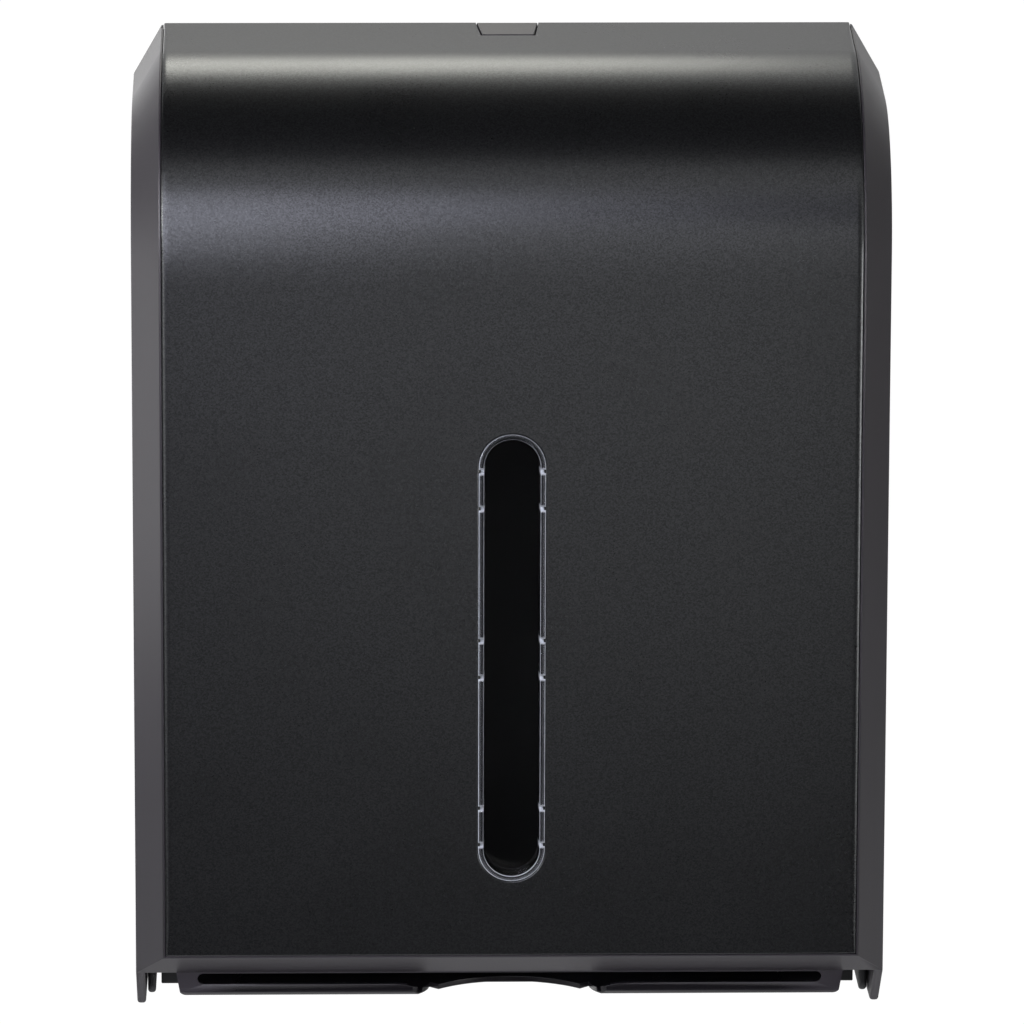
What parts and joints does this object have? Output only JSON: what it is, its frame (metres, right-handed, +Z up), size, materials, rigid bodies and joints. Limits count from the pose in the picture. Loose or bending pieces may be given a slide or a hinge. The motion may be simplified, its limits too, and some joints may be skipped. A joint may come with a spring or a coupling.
{
  "type": "paper towel dispenser",
  "caption": "Wall-mounted folded towel dispenser with a hinged round-shouldered cover, a bevelled border, a long clear window, a bottom slot with a finger cut-out and a push latch.",
  "frame": {"origin": "centre of the four wall screw holes, on the wall plane", "axes": "+Z up, +X to the right as seen from the room, and -Y out from the wall towards the user"},
  "size_m": [0.28, 0.102, 0.367],
  "materials": {
    "frame_plastic": "satin charcoal moulding",
    "panel_plastic": "pearl black with a fine metallic speckle",
    "clear_lens": "clear moulded plastic",
    "housing_plastic": "matt black moulding",
    "steel": "bright zinc",
    "spring_steel": "blued spring strip"
  },
  "bodies": {
    "housing": {"rear_housing": "housing_plastic", "towel_tray": "housing_plastic", "tray_screws": "steel", "latch_bracket": "housing_plastic", "bracket_screws": "steel", "catch_spring": "spring_steel", "spring_screw": "steel", "hinge_pin_left": "steel", "hinge_pin_right": "steel"},
    "cover": {"cover_frame": "frame_plastic", "front_panel": "panel_plastic", "panel_screws": "steel", "window_lens": "clear_lens", "latch_keeper": "steel", "keeper_screws": "steel"},
    "button": {"latch_button": "frame_plastic"}
  },
  "joints": [
    {"name": "cover_swing", "type": "hinge", "parent": "housing", "child": "cover", "pos_m": [0, -0.017, -0.1685], "axis": [1, 0, 0], "range_deg": [0, 90], "deforming": ["catch_spring"]},
    {"name": "latch_press", "type": "slide", "parent": "housing", "child": "button", "axis": [0, 0, -1], "range_m": [0, 0.004], "stiffness_N_per_m": 800, "deforming": ["catch_spring"]}
  ]
}
